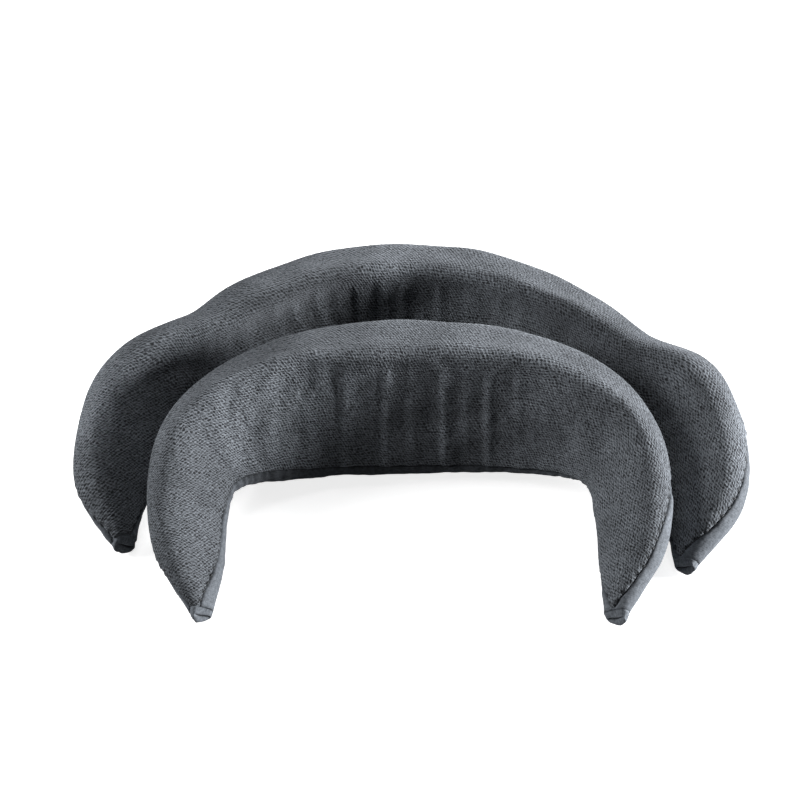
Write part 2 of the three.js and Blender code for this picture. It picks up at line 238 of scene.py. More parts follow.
def add_object(name, data):
    added = bpy.data.objects.new(name, data)
    bpy.context.scene.collection.objects.link(added)
    return added


def new_mesh(name, points, faces):
    """A mesh with its faces turned outward, from points in metres."""
    mesh = bpy.data.meshes.new(name)
    mesh.from_pydata(points.tolist(), [], faces)
    tidy = bmesh.new()
    tidy.from_mesh(mesh)
    bmesh.ops.recalc_face_normals(tidy, faces=tidy.faces[:])
    tidy.to_mesh(mesh)
    tidy.free()
    return mesh


def catmull_weights(t):
    return (
        0.5 * (-t + 2 * t**2 - t**3),
        0.5 * (2 - 5 * t**2 + 3 * t**3),
        0.5 * (t + 4 * t**2 - 3 * t**3),
        0.5 * (t**3 - t**2),
    )


def smooth_sample(table, x, y):
    """Value of a table at x along its rings and y round them, smoothly interpolated."""
    rings, steps = table.shape[:2]
    i = np.clip(np.floor(x).astype(int), 0, rings - 2)
    j = np.floor(y).astype(int)
    weights_y = catmull_weights((y - j)[..., None])
    total = 0
    for a, wx in enumerate(catmull_weights((x - i)[..., None])):
        row = np.clip(i + a - 1, 0, rings - 1)
        for b, wy in enumerate(weights_y):
            total = total + wx * wy * table[row, (j + b - 1) % steps]
    return total


def rest_on_floor(height):
    """Presses what would sink into the floor flat just above it, with its layers still in order."""
    room = FLOOR_KNEE - FLOOR_GAP
    pressed = FLOOR_GAP + room * np.exp(np.minimum(height - FLOOR_KNEE, 0) / room)
    return np.where(height < FLOOR_KNEE, pressed, height)


def wave_noise(seed, length_u, length_v, u, v):
    """Smooth noise in two directions, as a sum of seeded waves. It is mostly within -1.5 to 1.5."""
    rng = np.random.default_rng(seed)
    turn = rng.uniform(0, 2 * np.pi, NOISE_WAVES)
    size = rng.uniform(0.6, 1.5, NOISE_WAVES)
    phase = rng.uniform(0, 2 * np.pi, NOISE_WAVES)
    waves_u = np.cos(turn) * size * 2 * np.pi / length_u
    waves_v = np.sin(turn) * size * 2 * np.pi / length_v
    total = sum(np.sin(a * u + b * v + p) for a, b, p in zip(waves_u, waves_v, phase))
    return total * math.sqrt(1.2 / NOISE_WAVES)


def run_length(steps):
    """Distance from the start to each point, from the steps between them."""
    return np.concatenate([[0], np.cumsum(steps)])


class Pad:
    """One pad's outer surface: place counts stations along it, and around is the share of the way round."""

    def __init__(self, prefix, body, stations, place, seams, edges, folds, grain, tone, seed):
        self.prefix = prefix
        self.body = body
        self.place = place
        self.folds = folds
        self.seed = seed
        right = np.array(stations, dtype=float)
        left = right[:0:-1] * np.array([-1, 1, 1, 1, 1, 1, 1])
        all_rows = np.vstack([left, right])
        before = 2 * all_rows[0] - all_rows[1]
        after = 2 * all_rows[-1] - all_rows[-2]
        self.controls = np.vstack([before, all_rows, after])
        self.last = len(stations) - 1
        self.rings = np.linspace(-self.last, self.last, 2 * self.last * SURFACE_RINGS_PER_STATION + 1)
        self.grid = self.outline_grid(self.rings)
        self.upper_table = self.smooth_table(seams[0])
        self.lower_table = self.smooth_table(seams[1])
        self.grain_table = self.smooth_table(grain)
        # The last table is painted shading: pile made darker or paler to stand in for light and shade.
        self.painted_shading_table = self.smooth_table(tone)
        self.refresh()
        self.push_edges(edges)

    def values(self, place):
        first = np.clip(np.floor(place), -self.last, self.last - 1).astype(int)
        t = (place - first)[:, None]
        at = first + self.last + 1
        weights = catmull_weights(t)
        return sum(w * self.controls[at + step] for w, step in zip(weights, (-1, 0, 1, 2)))

    def sections(self, place):
        """Centre, the directions along, up the face and to the back, and width, depth and power."""
        place = np.atleast_1d(np.asarray(place, dtype=float))
        rows = self.values(place)
        along = unit(self.values(place + 0.01)[:, :3] - self.values(place - 0.01)[:, :3])
        outward = unit(np.cross([0.0, 0.0, 1.0], along))
        rise = np.cross(along, outward)
        lean = np.radians(rows[:, 3:4])
        upward = np.cos(lean) * rise + np.sin(lean) * outward
        backward = np.cos(lean) * outward - np.sin(lean) * rise
        return rows[:, :3], along, upward, backward, rows[:, 4], rows[:, 5], rows[:, 6]

    def outline_grid(self, places):
        """Points evenly spaced round each section's outline."""
        centre, _, upward, backward, width, depth, power = self.sections(places)
        turn = np.linspace(0, 2 * np.pi, OUTLINE_SAMPLES)[None, :]
        across = np.abs(np.cos(turn) / (depth[:, None] / 2)) ** power[:, None]
        high = np.abs(np.sin(turn) / (width[:, None] / 2)) ** power[:, None]
        radius = (across + high) ** (-1 / power[:, None])
        up = radius * np.sin(turn)
        back = radius * np.cos(turn)
        lengths = np.hypot(np.diff(up, axis=1), np.diff(back, axis=1))
        travelled = np.hstack([np.zeros((len(places), 1)), np.cumsum(lengths, axis=1)])
        self.girth = travelled[:, -1]
        shares = np.arange(SURFACE_STEPS) / SURFACE_STEPS
        grid = np.empty((len(places), SURFACE_STEPS, 3))
        for i, total in enumerate(self.girth):
            even_up = np.interp(shares * total, travelled[i], up[i])
            even_back = np.interp(shares * total, travelled[i], back[i])
            grid[i] = centre[i] + even_up[:, None] * upward[i] + even_back[:, None] * backward[i]
        return grid

    def smooth_table(self, knots):
        places, values = zip(*knots)
        table = np.interp(self.rings, places, values)
        mean = np.ones(7) / 7
        for _ in range(2):
            padded = np.pad(table, 3, mode="reflect", reflect_type="odd")
            table = np.convolve(padded, mean, mode="valid")
        return table

    def push_edges(self, tables):
        shares = np.arange(SURFACE_STEPS) / SURFACE_STEPS
        push = 0
        for table, (at, spread) in zip(tables, PUSH_PLACES):
            push = push + np.outer(self.smooth_table(table), np.exp(-(((shares - at) / spread) ** 2)))
        self.grid = self.grid + self.normals * push[..., None]
        self.ease_pinches()
        self.refresh()

    def ease_pinches(self):
        """Spreads the rings out where they crowd together or cross on the inside of a bend."""
        spine = np.diff(self.grid.mean(axis=1, keepdims=True), axis=0)
        for _ in range(PINCH_PASSES):
            steps = np.diff(self.grid, axis=0)
            progress = (steps * spine).sum(axis=-1) / (spine**2).sum(axis=-1)
            crowded = 1 - smoothstep(PINCH_FROM - 0.25, PINCH_FROM, progress)
            weight = 0.5 * np.maximum(crowded[:-1], crowded[1:])[..., None]
            between = 0.5 * (self.grid[:-2] + self.grid[2:])
            self.grid[1:-1] += weight * (between - self.grid[1:-1])

    def refresh(self):
        """Normals and lengths, again after the surface has changed."""
        around = np.roll(self.grid, -1, axis=1) - np.roll(self.grid, 1, axis=1)
        along = np.gradient(self.grid, axis=0)
        self.normals = unit(np.cross(around, along))
        outward = self.grid - self.grid.mean(axis=1, keepdims=True)
        if (self.normals * outward).sum() < 0:
            self.normals = -self.normals
        middle = len(self.rings) // 2
        self.face_length = self.length_along(SURFACE_STEPS // 2, middle)
        self.back_length = self.length_along(0, middle)

    def length_along(self, step, middle):
        steps = np.linalg.norm(np.diff(self.grid[:, step], axis=0), axis=1)
        travelled = run_length(steps)
        return travelled - travelled[middle]

    def sample(self, table, place, around):
        x = (np.asarray(place) + self.last) * SURFACE_RINGS_PER_STATION
        return smooth_sample(table, x, np.mod(np.asarray(around), 1.0) * SURFACE_STEPS)

    def surface(self, place, around, height=0.0):
        points = self.sample(self.grid, place, around)
        normals = unit(self.sample(self.normals, place, around))
        return points + normals * np.asarray(height)[..., None]

    def along_table(self, table, place):
        return np.interp(place, self.rings, table)

    def place_at(self, length):
        return np.interp(length, self.face_length, self.rings)

    def place_at_back(self, length):
        return np.interp(length, self.back_length, self.rings)

    def upper(self, place):
        return self.along_table(self.upper_table, place)

    def lower(self, place):
        return self.along_table(self.lower_table, place)

    def girth_at(self, place):
        return self.along_table(self.girth, place)

    def to_world(self, points):
        x, y, z, turn = self.place
        c, s = math.cos(math.radians(turn)), math.sin(math.radians(turn))
        points = np.asarray(points, dtype=float)
        turned = np.empty_like(points)
        turned[..., 0] = c * points[..., 0] - s * points[..., 1] + x
        turned[..., 1] = s * points[..., 0] + c * points[..., 1] + y
        turned[..., 2] = rest_on_floor(points[..., 2] + z)
        return turned * MM


# --- Cloth: the covers swell between their seams ---

CLOTH_RINGS = 131
CLOTH_STEPS = 44
CLOTH_INSET = 1.2
CLOTH_CAP = 1.3
CLOTH_SHARE = 0.3
CLOTH_FRAMES = 20
# The face is cut slack in the middle: stations where that ends, and shares of the way round.
SLACK_STATIONS = (2.0, 3.4)
SLACK_WINDOW = (0.30, 0.40, 0.58, 0.66)


def swell(pad):
    """Blows the pad's cover up between its pinned seams, and keeps the result in the pad's surface."""
    places = np.linspace(-pad.last, pad.last, CLOTH_RINGS)
    shares = np.arange(CLOTH_STEPS) / CLOTH_STEPS
    place_grid, share_grid = np.meshgrid(places, shares, indexing="ij")
    start = pad.surface(place_grid, share_grid, -CLOTH_INSET)
    count = CLOTH_RINGS * CLOTH_STEPS
    points, faces = closed_loft(start)
    cover = add_object("swell", new_mesh("swell", points * MM, faces))

    pins = cover.vertex_groups.new(name="pins")
    for i, place in enumerate(places):
        for seam in (pad.upper(place), pad.lower(place)):
            j = int(round(float(seam) * CLOTH_STEPS)) % CLOTH_STEPS
            pins.add([i * CLOTH_STEPS + j], 1.0, "REPLACE")
    ends_ring = list(range(2 * CLOTH_STEPS)) + list(range(count - 2 * CLOTH_STEPS, count + 2))
    pins.add(ends_ring, 1.0, "REPLACE")
    slack = cover.vertex_groups.new(name="slack")
    central = 1 - smoothstep(*SLACK_STATIONS, np.abs(places))
    for number, loose in enumerate(np.outer(central, window(shares, *SLACK_WINDOW)).ravel()):
        slack.add([number], 1 - float(loose), "REPLACE")

    modifier = cover.modifiers.new("Cloth", "CLOTH")
    cloth = modifier.settings
    cloth.quality = 6
    cloth.mass = 0.2
    cloth.use_pressure = True
    cloth.uniform_pressure_force = 4.0
    cloth.effector_weights.gravity = 0.0
    cloth.vertex_group_mass = "pins"
    cloth.vertex_group_shrink = "slack"
    cloth.shrink_min = -0.05
    cloth.shrink_max = 0.0
    cloth.bending_stiffness = 0.4
    scene = bpy.context.scene
    for number in range(1, CLOTH_FRAMES + 1):
        scene.frame_set(number)
    depsgraph = bpy.context.evaluated_depsgraph_get()
    result = cover.evaluated_get(depsgraph).to_mesh()
    ends_at = np.empty(len(result.vertices) * 3)
    result.vertices.foreach_get("co", ends_at)
    ends_at = ends_at.reshape(-1, 3)[:count].reshape(CLOTH_RINGS, CLOTH_STEPS, 3) / MM
    bpy.data.objects.remove(cover)
    scene.frame_set(1)

    normals = unit(pad.sample(pad.normals, place_grid, share_grid))
    moved = ((ends_at - start) * normals).sum(axis=-1)
    moved = CLOTH_SHARE * (moved - np.median(moved))
    moved = CLOTH_CAP * np.tanh(moved / CLOTH_CAP)
    moved *= (1 - smoothstep(pad.last - 1.0, pad.last - 0.2, np.abs(places)))[:, None]
    x = np.linspace(0, CLOTH_RINGS - 1, len(pad.rings))
    y = np.arange(SURFACE_STEPS) / SURFACE_STEPS * CLOTH_STEPS
    finer = smooth_sample(moved[..., None], *np.meshgrid(x, y, indexing="ij"))
    pad.grid = pad.grid + pad.normals * finer
    pad.refresh()


# --- Sheets made of columns of points ---


def zip_chains(first, first_keys, second, second_keys):
    """Triangles between two chains of points, each in the order of its keys."""
    triangles = []
    i = j = 0
    while i < len(first) - 1 or j < len(second) - 1:
        take_first = j == len(second) - 1
        if not take_first and i < len(first) - 1:
            take_first = first_keys[i + 1] <= second_keys[j + 1]
        if take_first:
            triangles.append((first[i], second[j], first[i + 1]))
            i += 1
        else:
            triangles.append((first[i], second[j], second[j + 1]))
            j += 1
    return triangles


def zip_sheet(columns):
    """Triangles over a sheet. Each column is a pair: point numbers and their keys."""
    triangles = []
    for (first, first_keys), (second, second_keys) in zip(columns, columns[1:]):
        triangles += zip_chains(first, first_keys, second, second_keys)
    return triangles


def rim(columns):
    """Point numbers round a sheet, with keys that count its four sides."""
    low = [ids[0] for ids, _ in columns]
    high = [ids[-1] for ids, _ in columns][::-1]
    end = columns[-1][0]
    start = columns[0][0][::-1]
    ids, keys = [], []
    for side, chain in enumerate((low, end, high, start)):
        ids += list(chain[:-1])
        keys += list(side + np.arange(len(chain) - 1) / (len(chain) - 1))
    return ids + [ids[0]], keys + [4.0]


def numbered(counts, keys, offset=0):
    """Columns of consecutive point numbers."""
    columns = []
    at = 0
    for count in counts:
        columns.append((list(range(offset + at, offset + at + count)), keys[at : at + count]))
        at += count
    return columns


def two_sided(outer, outer_counts, outer_keys, inner, inner_counts, inner_keys):
    """The closed solid between an outer and an inner sheet."""
    outer_columns = numbered(outer_counts, outer_keys)
    inner_columns = numbered(inner_counts, inner_keys, len(outer))
    faces = zip_sheet(outer_columns) + zip_sheet(inner_columns)
    faces += zip_chains(*rim(outer_columns), *rim(inner_columns))
    return np.vstack([outer, inner]), faces


def add_piece(pad, name, shape, material, node=None, uv=None, values=None):
    """A mesh piece from points and faces in the pad's own frame, riding on the pad's body."""
    name = f"{pad.prefix}_{name}"
    points, faces = shape
    mesh = new_mesh(name, pad.to_world(points), faces)
    mesh.polygons.foreach_set("use_smooth", [True] * len(mesh.polygons))
    if uv is not None:
        corners = np.empty(len(mesh.loops), dtype=int)
        mesh.loops.foreach_get("vertex_index", corners)
        layer = mesh.uv_layers.new(name="knit")
        layer.data.foreach_set("uv", np.asarray(uv)[corners].ravel())
    for key, numbers in (values or {}).items():
        attribute = mesh.attributes.new(key, "FLOAT", "POINT")
        attribute.data.foreach_set("value", np.asarray(numbers, dtype=float))
    mesh.materials.append(material)
    piece = add_object(name, mesh)
    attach(piece, pad.body)
    if node:
        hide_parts(f"{pad.prefix}_{node}")
    return piece


# --- Terry cover ---


def fold_height(pad, length, rise):
    """Height of the soft folds on the face, and their painted shading: painted shade (+) along the crease
    beside each ridge and a painted highlight (-) on the ridge.
    """
    total = np.zeros_like(length)
    tone = np.zeros_like(length)
    for at, half_width, height, drift in pad.folds:
        off = length - at - drift * rise / 60
        width = np.where(off > 0, half_width, FOLD_FLANK)
        line = np.exp(-(((off + 1.5 * FOLD_FLANK) / (0.8 * FOLD_FLANK)) ** 2))
        ridge = np.exp(-((off / width) ** 2))
        total += FOLD_HEIGHT * height * (ridge - FOLD_CREASE * line)
        tone += height * (FOLD_SHADE * line - FOLD_LIGHT * ridge)
    shown = window(rise, *FOLD_WINDOW)
    return total * shown, tone * shown


def cloth_place(pad, length, rise):
    """Where points of the cover lie on the flat cloth, along and across its rows."""
    steps = np.linspace(length.min(), length.max(), 1500)
    turns = np.radians(pad.along_table(pad.grain_table, pad.place_at(steps)))
    gap = steps[1] - steps[0]
    along = run_length(0.5 * (np.cos(turns[1:]) + np.cos(turns[:-1])) * gap)
    across = run_length(0.5 * (np.sin(turns[1:]) + np.sin(turns[:-1])) * gap)
    along -= np.interp(0, steps, along)
    across -= np.interp(0, steps, across)
    turn = np.interp(length, steps, turns)
    x = np.interp(length, steps, along) - rise * np.sin(turn)
    y = np.interp(length, steps, across) + rise * np.cos(turn)
    return x, y


def loop_relief(p, q, rng):
    """Height of the loops, about 0 to 1, for brickwork of loops one unit apart with slanting gaps."""
    row = np.floor(q).astype(int)
    along = p + 0.5 * np.mod(row, 2)
    number = np.mod(np.floor(along).astype(int) * 57 + row * 131, 4096)
    chance = rng.uniform(0.4, 1, 4096)[number]
    off_p = np.mod(along, 1) - 0.5
    off_q = np.mod(q, 1) - 0.5 + GAP_TILT * off_p
    return 1 - chance * np.exp(-((off_p / GAP_LENGTH) ** 2) - (off_q / GAP_WIDTH) ** 2)


def stitch_closeness(along_seam):
    """1 at a stitch and 0 half way between two stitches."""
    return 0.5 + 0.5 * np.cos(2 * np.pi * along_seam / STITCH_PITCH)


def edge_depth(distance, reach, depth):
    """How deep a rounded edge lies, at a distance from the seam."""
    left = np.clip(1 - distance / reach, 0, 1)
    return depth * (1 - np.sqrt(1 - left**2))


def row_positions(low, high):
    near = np.array(EDGE_ROWS)
    first = math.ceil((low + EDGE_ROWS[-1] + 0.25) / ROW_STEP)
    last = math.floor((high - EDGE_ROWS[-1] - 0.25) / ROW_STEP)
    inner = np.arange(first, last + 1) * ROW_STEP
    return np.concatenate([low + near, inner, (high - near)[::-1]])


def make_terry(pad, material):
    rng = np.random.default_rng(pad.seed)
    end = min(-pad.face_length[0], pad.face_length[-1]) - TERRY_END
    near = np.array(EDGE_ROWS)
    reach = int((end - EDGE_ROWS[-1] - 0.25) / COLUMN_STEP)
    lengths = np.concatenate([near - end, np.arange(-reach, reach + 1) * COLUMN_STEP, (end - near)[::-1]])
    places = pad.place_at(lengths)
    girth = pad.girth_at(places)
    high = (0.5 - pad.upper(places)) * girth
    low = (0.5 - pad.lower(places)) * girth
    rows = [row_positions(bottom, top) for bottom, top in zip(low, high)]
    counts = [len(row) for row in rows]
    rise = np.concatenate(rows)
    column_of = np.repeat(np.arange(len(lengths)), counts)
    length = lengths[column_of]
    from_seam = np.minimum(rise - low[column_of], high[column_of] - rise)
    from_seam = np.minimum(from_seam, end - np.abs(length))
    place = pad.place_at(length)
    around = 0.5 - rise / pad.girth_at(place)
    seam_run = pad.along_table(pad.back_length, place)
    pucker = stitch_closeness(seam_run) * np.exp(-((from_seam / PUCKER_REACH) ** 2))
    to_stitch = (np.mod(seam_run / STITCH_PITCH + 0.5, 1) - 0.5) * STITCH_PITCH
    hole = np.exp(-((to_stitch / HOLE_REACH) ** 2) - ((from_seam - HOLE_INSET) / HOLE_REACH) ** 2)
    toward_tip = np.abs(place) / pad.last
    drawn_in = smoothstep(*DRAWN_IN_FROM, toward_tip)
    pucker, hole = pucker * drawn_in, hole * drawn_in

    x, y = cloth_place(pad, length, rise)
    p = x / LOOP_ALONG + LOOP_DRIFT * wave_noise(pad.seed + 7, 13, 11, x, y)
    q = y / LOOP_ACROSS + LOOP_DRIFT * wave_noise(pad.seed + 8, 14, 11, x, y)
    patchy = wave_noise(pad.seed + 1, 22, 16, length, rise)
    lumps = wave_noise(pad.seed + 2, 34, 26, length, rise)
    creases = wave_noise(pad.seed + 3, 9, 70, length, rise)
    folds, fold_painted_shading = fold_height(pad, length, rise)
    arm = smoothstep(*COARSE_FROM, toward_tip)
    loops = loop_relief(p, q, rng) * (1 + LOOP_PATCHY * patchy) * smoothstep(0.1, 0.9, from_seam)
    height = LOOP_HEIGHT * (1 + COARSE_LOOPS * arm) * loops + LOOP_FUZZ * rng.normal(0, 1, len(rise))
    height += LUMP_HEIGHT * lumps + CREASE_HEIGHT * creases * window(rise, *FACE_WINDOW) + folds
    height -= edge_depth(from_seam, EDGE_ROUND, EDGE_DEPTH) + PUCKER_DEPTH * pucker + HOLE_DEPTH * hole
    outer = pad.surface(place, around, height)
    uv = np.column_stack([p, q])
    # The shade attribute: painted shade in the stitch holes, puckers, seam groove and fold creases, painted
    # highlight on the fold ridges, and the tables' painted shade (+) and painted light (-).
    painted_shading_mask = np.maximum(smoothstep(*PAINTED_SHADING_ROUND, around), smoothstep(*PAINTED_SHADING_FROM, toward_tip))
    dark = HOLE_SHADE * hole + PUCKER_SHADE * pucker + SEAM_SHADE * np.exp(-from_seam / 0.5) + fold_painted_shading
    dark += painted_shading_mask * pad.along_table(pad.painted_shading_table, place)
    shade = np.clip(dark, -1, 1)

    lining_places = pad.place_at(np.linspace(-end, end, int(2 * end / LINING_PITCH)))
    lining_girth = pad.girth_at(lining_places)
    top = (0.5 - pad.upper(lining_places)) * lining_girth
    bottom = (0.5 - pad.lower(lining_places)) * lining_girth
    lining_rise = np.linspace(bottom, top, LINING_ROWS, axis=1).ravel()
    lining_place = np.repeat(lining_places, LINING_ROWS)
    lining_around = 0.5 - lining_rise / pad.girth_at(lining_place)
    lining = pad.surface(lining_place, lining_around, -TERRY_THICKNESS)
    lining_counts = [LINING_ROWS] * len(lining_places)

    shape = two_sided(outer, counts, rise, lining, lining_counts, lining_rise)
    lining_x, lining_y = cloth_place(pad, pad.along_table(pad.face_length, lining_place), lining_rise)
    uv = np.vstack([uv, np.column_stack([lining_x / LOOP_ALONG, lining_y / LOOP_ACROSS])])
    values = {"shade": np.concatenate([shade, np.ones(len(lining))])}
    return add_piece(pad, "terry", shape, material, "terry_cover", uv, values)


# --- Back panel and hem ---


def panel_row(bottom, top):
    """Distances across the panel, closer together at its tucked edges."""
    near = np.array(PANEL_EDGE_ROWS)
    first, last = bottom + PANEL_EDGE, top - PANEL_EDGE
    inner = np.linspace(first, last, max(3, int((top - bottom - 2 * PANEL_EDGE) / PANEL_PITCH)))
    return np.concatenate([bottom + near, inner, (top - near)[::-1]])


def make_panel(pad, material):
    end = min(-pad.back_length[0], pad.back_length[-1])
    lengths = np.linspace(-end, end, int(2 * end / PANEL_PITCH) | 1)
    places = pad.place_at_back(lengths)
    girths = pad.girth_at(places)
    tops = pad.upper(places) * girths
    bottoms = (pad.lower(places) - 1) * girths
    rows = [panel_row(bottom, top) for bottom, top in zip(bottoms, tops)]
    counts = [len(row) for row in rows]
    column_of = np.repeat(np.arange(len(rows)), counts)
    travel = np.concatenate(rows)
    from_seam = np.minimum(travel - bottoms[column_of], tops[column_of] - travel)
    place, length, girth = places[column_of], lengths[column_of], girths[column_of]
    around = travel / girth

    lumps = wave_noise(pad.seed + 5, 30, 24, length, travel)
    gathers = wave_noise(pad.seed + 6, 7, 60, length, travel)
    near_seam = np.exp(-np.maximum(from_seam, 0) / 5)
    pucker = stitch_closeness(length) * np.exp(-((from_seam / PUCKER_REACH) ** 2))
    height = -PANEL_TOP + PANEL_LUMPS * lumps + PANEL_GATHERS * gathers * near_seam - PANEL_PUCKER * pucker
    height -= edge_depth(np.maximum(from_seam, 0), PANEL_ROUND, PANEL_TUCK_DEPTH)
    height = np.where(from_seam < 0, -PANEL_TOP - PANEL_TUCK_DEPTH - 0.3, height)
    outer = pad.surface(place, around, height)
    inner = pad.surface(place, around, np.minimum(height, -PANEL_TOP) - PANEL_THICKNESS)
    uv = np.column_stack([length, travel])
    # Painted shade: the panel is darkened along its seams, at the puckers and, in the middle, near the lower
    # seam under the pad.
    centre = 1 - smoothstep(0.4, 0.6, np.abs(place) / pad.last)
    painted_underside_shade = centre * np.exp(-((np.maximum(travel - pad.lower(place) * girth + girth, 0) / 7) ** 2))
    shade = np.clip(0.3 * np.exp(-np.maximum(from_seam, 0) / 0.6) + 0.3 * pucker + 0.4 * painted_underside_shade, 0, 1)
    values = {"shade": np.concatenate([shade, np.ones(len(inner))])}
    shape = two_sided(outer, counts, travel, inner, counts, travel)
    return add_piece(pad, "panel", shape, material, "back_panel", np.vstack([uv, uv]), values)


# --- Tubes, stitches and tips ---


def closed_loft(rings, shut=False):
    """Points and faces through rings of points. The ends meet if shut, and get a fan each if not."""
    rings = np.asarray(rings)
    count, size = rings.shape[:2]
    points = rings.reshape(-1, 3)
    faces = []
    for i in range(count if shut else count - 1):
        here, there = i * size, (i + 1) % count * size
        for j in range(size):
            k = (j + 1) % size
            faces.append((here + j, there + j, there + k, here + k))
    if not shut:
        points = np.vstack([points, rings[0].mean(axis=0), rings[-1].mean(axis=0)])
        last = (count - 1) * size
        for j in range(size):
            k = (j + 1) % size
            faces.append((count * size, j, k))
            faces.append((count * size + 1, last + k, last + j))
    return points, faces


def tube(path, radii, sides=6):
    """A closed tube along a path, with a radius for each of its points."""
    along = unit(np.gradient(path, axis=0))
    helper = np.array([0.0, 0.0, 1.0])
    if abs(along[0] @ helper) > 0.9:
        helper = np.array([1.0, 0.0, 0.0])
    side = unit(np.cross(along, helper))
    other = np.cross(along, side)
    turn = np.arange(sides) / sides * 2 * np.pi
    ring = np.cos(turn)[None, :, None] * side[:, None] + np.sin(turn)[None, :, None] * other[:, None]
    return closed_loft(path[:, None] + ring * radii[:, None, None])


def joined(parts):
    points, faces, at = [], [], 0
    for some_points, some_faces in parts:
        points.append(some_points)
        faces += [tuple(at + n for n in face) for face in some_faces]
        at += len(some_points)
    return np.vstack(points), faces


def one_stitch(pad, place, around, height):
    """A stitch along a short path on the pad's surface, arched and thicker in its middle."""
    spread = np.linspace(-1, 1, len(place))
    path = pad.surface(place, around, height + STITCH_ARCH * (1 - spread**2))
    return tube(path, STITCH_RADIUS * np.sqrt(1 - (STITCH_TAPER * spread) ** 2))


def make_stitches(pad, seam, name, material):
    """Short stitches that bridge the groove between the two knits."""
    rng = np.random.default_rng(pad.seed + 11)
    end = min(-pad.back_length[0], pad.back_length[-1]) - 2.5
    spread = np.linspace(-1, 1, 7)
    parts = []
    for number in range(-int(end / STITCH_PITCH), int(end / STITCH_PITCH) + 1):
        place = pad.place_at_back(number * STITCH_PITCH + spread * STITCH_LENGTH / 2)
        slant = 0.35 * spread + 0.05 * rng.normal()
        parts.append(one_stitch(pad, place, seam(place) + slant / pad.girth_at(place), -STITCH_SUNK))
    return add_piece(pad, f"{name}_stitches", joined(parts), material, name)


TIP_RING = 48
TIP_WAVE = 0.25
TIP_SLANT = 0.7
SLIT_FROM = 11
# Distance past the last section, share of its width and of its depth. The last ones turn back inside,
# which leaves the slit of the folded end.
TIP_SLICES = (
    (-2.2, 0.95, 0.93), (-1.0, 0.98, 0.96), (0.0, 1.0, 0.95), (0.6, 0.98, 0.90), (1.1, 0.955, 0.84),
    (1.6, 0.93, 0.77), (2.0, 0.91, 0.69), (2.3, 0.88, 0.59), (2.45, 0.85, 0.47), (2.5, 0.82, 0.34),
    (2.45, 0.79, 0.21), (2.2, 0.76, 0.11), (1.6, 0.70, 0.06), (0.6, 0.60, 0.05),
)


def make_tip(pad, side, material):
    """The cover's end at an arm's tip, flattened and folded into a slit."""
    name = "right" if side > 0 else "left"
    _, along, upward, backward, width, *_ = (v[0] for v in pad.sections(side * pad.last))
    shares = np.arange(TIP_RING) / TIP_RING
    turn = shares * 2 * np.pi
    edge = pad.surface(np.full(TIP_RING, side * pad.last), shares, -PANEL_TOP)
    centre = edge.mean(axis=0)
    up, back = (edge - centre) @ upward, (edge - centre) @ backward
    rings = []
    for past, wide, deep in TIP_SLICES:
        free = min(1, max(0, past / 2))
        wobble = 1 + 0.05 * wave_noise(pad.seed + 20 + side, 2.2, 5.0, turn * 3, past) * free
        sag = TIP_WAVE * np.sin(turn * 2 + past) * free
        across = back * deep * wobble + sag
        ring = centre + (side * (past + TIP_SLANT * free * across))[:, None] * along
        ring = ring + (up * wide * wobble)[:, None] * upward + across[:, None] * backward
        rings.append(ring)
    slices = np.array(TIP_SLICES)
    uv = np.column_stack([np.tile(turn * width / 4, len(rings)), np.repeat(slices[:, 0], TIP_RING)])
    uv = np.vstack([uv, np.zeros((2, 2))])
    # Painted shade on the slit's inner rings, and a little painted light on the rest of the folded end.
    shade = np.repeat(np.where(np.arange(len(rings)) > SLIT_FROM, 1.0, -0.25), TIP_RING)
    values = {"shade": np.concatenate([shade, [0, 1]])}
    node = f"tip_tab_{name}"
    return add_piece(pad, f"tip_{name}", closed_loft(rings), material, node, uv, values)


# --- Inside the cover: foam, stiffener and elastic ---

# Depths below the outer surface, and how far each layer runs short of the tips, in stations.
FOAM_TOP = 4.4
FOAM_END = 0.6
COMFORT_DEPTH = 8.0
LAYER_GAP = 0.35
STIFFENER_TOP = 4.4
STIFFENER_THICKNESS = 1.6
STIFFENER_SHARE = 0.48
STIFFENER_END = 2.5
STIFFENER_SQUARE = 0.3
ELASTIC_TOP = 3.2
ELASTIC_HALF = 1.5
ELASTIC_THICKNESS = 0.6
ELASTIC_END = 0.9
ELASTIC_PITCH = 0.9
RIB_HEIGHT = 0.1
GATHER_PITCH = 2.7
GATHER_HEIGHT = 0.22


def foam_block(pad, name, cuts, material):
    """Part of the foam body, cut flat in front and behind at distances behind the section's centre."""
    reach = pad.last - FOAM_END
    places = np.linspace(-reach, reach, 121)
    place_grid, share_grid = np.meshgrid(places, np.arange(72) / 72, indexing="ij")
    grain = wave_noise(pad.seed + 30, 0.9, 0.02, place_grid, share_grid)
    points = pad.surface(place_grid, share_grid, -FOAM_TOP + 0.12 * grain)
    centre, _, _, backward, _, depth, _ = pad.sections(places)
    back = ((points - centre[:, None]) * backward[:, None]).sum(axis=-1)
    front_cut, back_cut = cuts(pad, places, depth)
    wanted = np.clip(back, front_cut[:, None], back_cut[:, None])
    points = points + (wanted - back)[..., None] * backward[:, None]
    return add_piece(pad, name, closed_loft(points), material, name)


def foam_split(depth):
    return np.minimum(0, COMFORT_DEPTH - depth / 2)


def comfort_cuts(pad, places, depth):
    return -depth, foam_split(depth)


def core_cuts(pad, places, depth):
    plate_end = pad.last - STIFFENER_END
    plate = 1 - smoothstep(plate_end + 0.1, plate_end + 0.9, np.abs(places))
    recess = STIFFENER_TOP + STIFFENER_THICKNESS + LAYER_GAP - FOAM_TOP
    return foam_split(depth) + LAYER_GAP, depth / 2 - FOAM_TOP - recess * plate


